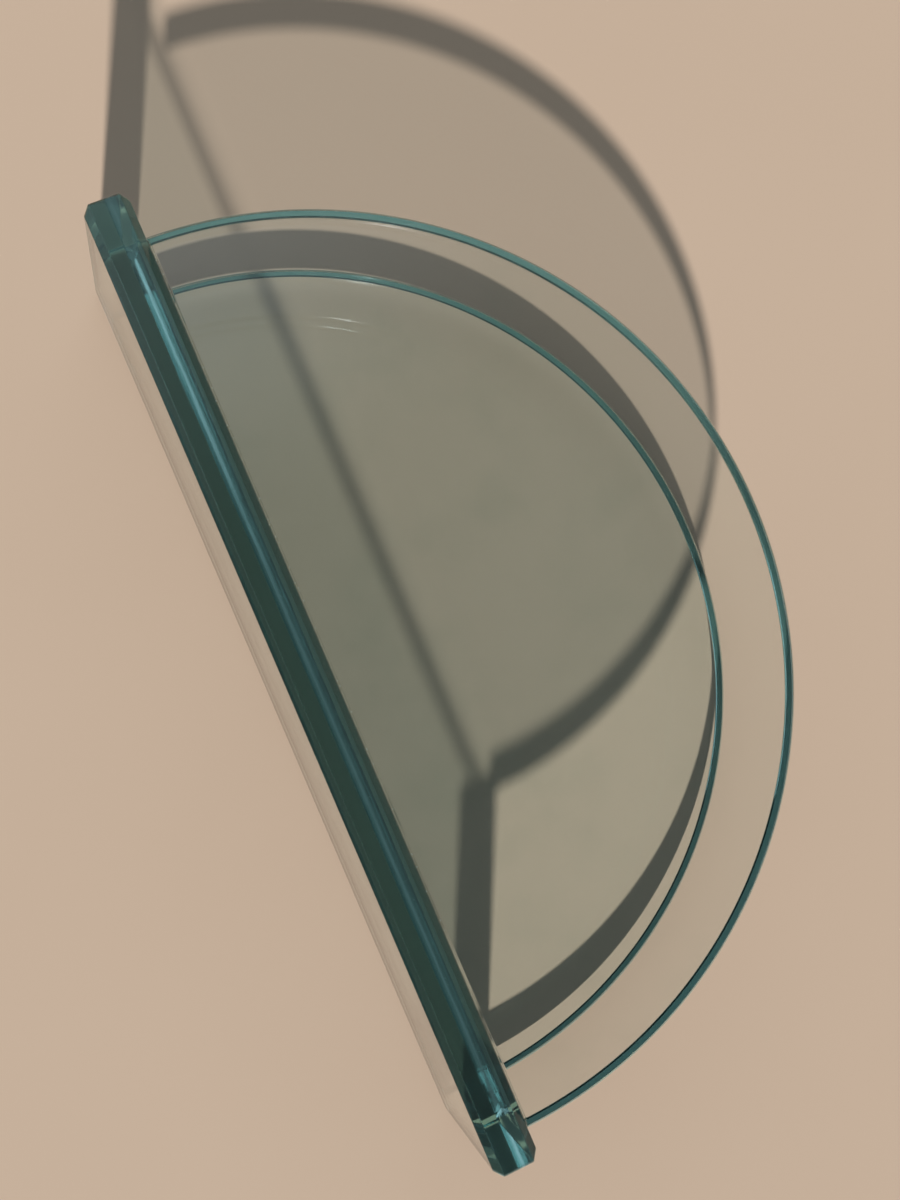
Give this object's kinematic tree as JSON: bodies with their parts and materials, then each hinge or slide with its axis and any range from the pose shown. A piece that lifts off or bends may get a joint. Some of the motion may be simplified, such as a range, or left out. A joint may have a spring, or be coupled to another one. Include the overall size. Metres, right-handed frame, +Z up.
{
  "type": "half-round glass holder",
  "caption": "Clear glass holder: parallel half-disc plates bonded by their straight edges to one face of a thicker base plate, with a gap for napkins or letters.",
  "frame": {"origin": "on the resting plane, under the middle of the object's box, as it lies on one long edge of its base plate", "axes": "+X along the base plate, +Y from the base plate to the crown of the half-discs, +Z up, square to the half-discs"},
  "size_m": [0.173, 0.0886, 0.0475],
  "materials": {
    "thick_float_glass": "clear float glass, green seen on edge, edges ground and polished",
    "float_glass": "clear float glass, green seen on edge, half circle ground and polished to a pencil edge",
    "clear_adhesive": "cured clear adhesive film"
  },
  "bodies": {
    "root": {"base_plate": "thick_float_glass", "lower_half_disc": "float_glass", "upper_half_disc": "float_glass", "lower_adhesive_seam": "clear_adhesive", "upper_adhesive_seam": "clear_adhesive"}
  },
  "joints": []
}
